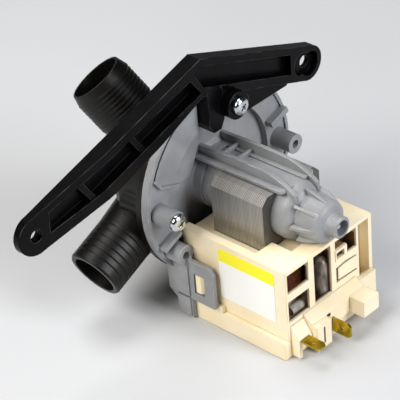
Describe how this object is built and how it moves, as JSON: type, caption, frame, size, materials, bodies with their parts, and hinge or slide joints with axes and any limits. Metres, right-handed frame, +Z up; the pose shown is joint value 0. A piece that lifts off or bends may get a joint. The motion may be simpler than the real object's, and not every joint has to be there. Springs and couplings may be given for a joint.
{
  "type": "washer drain pump",
  "caption": "Drain pump with a ribbed inlet and outlet on a round chamber, a synchronous motor with a U-shaped stator, and a bent channel bracket to mount it.",
  "frame": {"origin": "midway between the two bracket holes, on the back face of the bracket", "axes": "+X along the rotor axis from the pump chamber towards the terminals, +Z up, +Y from the label side to the far side"},
  "size_m": [0.1289, 0.1584, 0.1058],
  "materials": {
    "black_moulding": "satin, filled polypropylene",
    "grey_moulding": "satin, filled polypropylene",
    "cream_moulding": "satin polyester",
    "white_moulding": "satin",
    "black_rubber": "matt",
    "steel": "ground",
    "zinc_steel": "bright zinc plating",
    "ferrite": "sintered ferrite",
    "bronze": "sintered bronze",
    "lamination": "stacked electrical sheet",
    "enamel_wire": "enamelled copper wire",
    "brass": "stamped",
    "clear_sleeve": "cloudy sleeve",
    "label_film": "blank sticker"
  },
  "bodies": {
    "pump": {"volute_body": "black_moulding", "mounting_bracket": "black_moulding", "motor_flange": "grey_moulding", "chamber_seal": "black_rubber", "front_bearing": "bronze", "bearing_holder": "grey_moulding", "shaft_seal": "black_rubber", "rear_bearing": "bronze", "rear_grommet": "black_rubber", "stator_core": "lamination", "bobbin_near": "cream_moulding", "bobbin_far": "cream_moulding", "winding_near": "enamel_wire", "winding_far": "enamel_wire", "coil_cover": "cream_moulding", "terminal_base": "cream_moulding", "terminal_flat": "brass", "terminal_upright": "brass", "thermal_fuse": "steel", "fuse_sleeve": "clear_sleeve", "lead_sleeve": "clear_sleeve", "rating_label": "label_film", "flange_screws": "zinc_steel", "bracket_screw": "zinc_steel"},
    "rotor": {"rotor_shaft": "steel", "magnet": "ferrite", "magnet_carrier": "white_moulding", "thrust_washers": "white_moulding", "drive_dog": "white_moulding"},
    "impeller": {"impeller": "white_moulding", "impeller_cap": "white_moulding"}
  },
  "joints": [
    {"name": "rotor_spin", "type": "hinge", "parent": "pump", "child": "rotor", "pos_m": [0, 0.02285, -0.0263], "axis": [1, 0, 0], "continuous": true},
    {"name": "impeller_free_play", "type": "hinge", "parent": "rotor", "child": "impeller", "pos_m": [0, 0.02285, -0.0263], "axis": [1, 0, 0], "range_deg": [-128, 128]}
  ]
}
